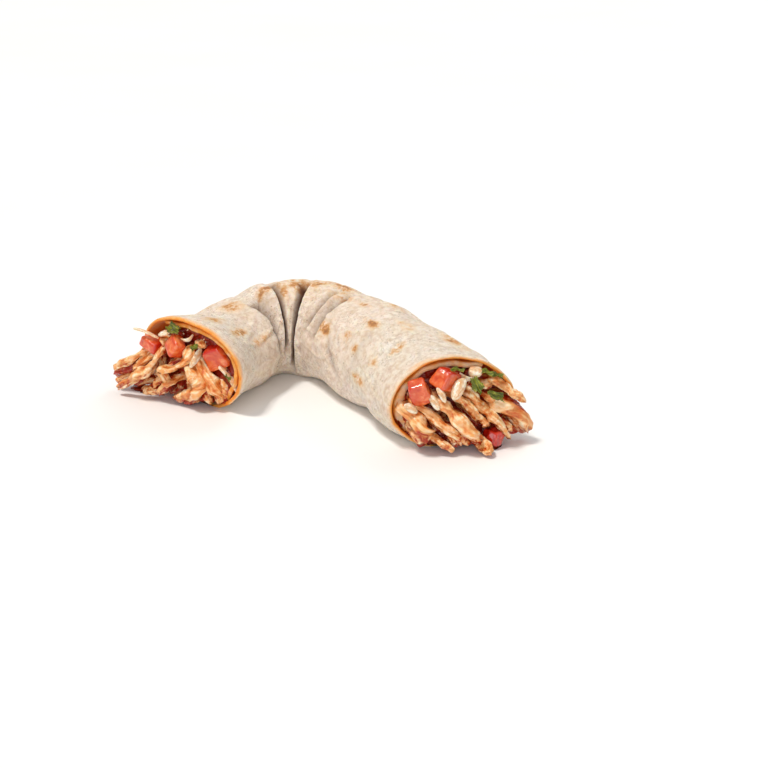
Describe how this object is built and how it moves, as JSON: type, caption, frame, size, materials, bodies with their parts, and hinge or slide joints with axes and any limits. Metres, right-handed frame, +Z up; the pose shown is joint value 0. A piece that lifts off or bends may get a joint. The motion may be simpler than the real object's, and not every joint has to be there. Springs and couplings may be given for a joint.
{
  "type": "tantuni wrap",
  "caption": "Soft flatbread rolled round chicken strips, tomato, onion and parsley, bent like a horseshoe with the filling showing at both open ends.",
  "frame": {"origin": "middle of the wrap's bounding box, on the surface that it lies on", "axes": "+Z up from that surface, -Y the side that both open ends face, +X towards the longer leg's mouth"},
  "size_m": [0.218, 0.1542, 0.051],
  "materials": {
    "flatbread": "soft wheat flatbread, dry and matt, with toasted spots",
    "chicken": "fried chicken strips, oily, fibrous, browned at the edges",
    "tomato": "fresh tomato dice, wet cut faces and smooth skin",
    "sauce": "tomato piece soaked in dark red oily sauce",
    "onion": "raw onion, translucent white, wet",
    "parsley": "fresh parsley leaf, satin green"
  },
  "bodies": {
    "root": {"flatbread": "flatbread", "chicken_filling": "chicken", "tomato_left_1": "tomato", "tomato_left_2": "tomato", "tomato_left_3": "tomato", "tomato_right_1": "tomato", "tomato_right_2": "tomato", "tomato_right_3": "sauce", "onion_left_1": "onion", "onion_left_2": "onion", "onion_left_3": "onion", "onion_left_4": "onion", "onion_left_5": "onion", "onion_right_1": "onion", "onion_right_2": "onion", "onion_right_3": "onion", "onion_right_4": "onion", "onion_right_5": "onion", "onion_right_6": "onion", "parsley_left_1": "parsley", "parsley_left_2": "parsley", "parsley_left_3": "parsley", "parsley_right_1": "parsley", "parsley_right_2": "parsley", "parsley_right_3": "parsley", "parsley_right_4": "parsley", "parsley_right_5": "parsley"}
  },
  "joints": []
}
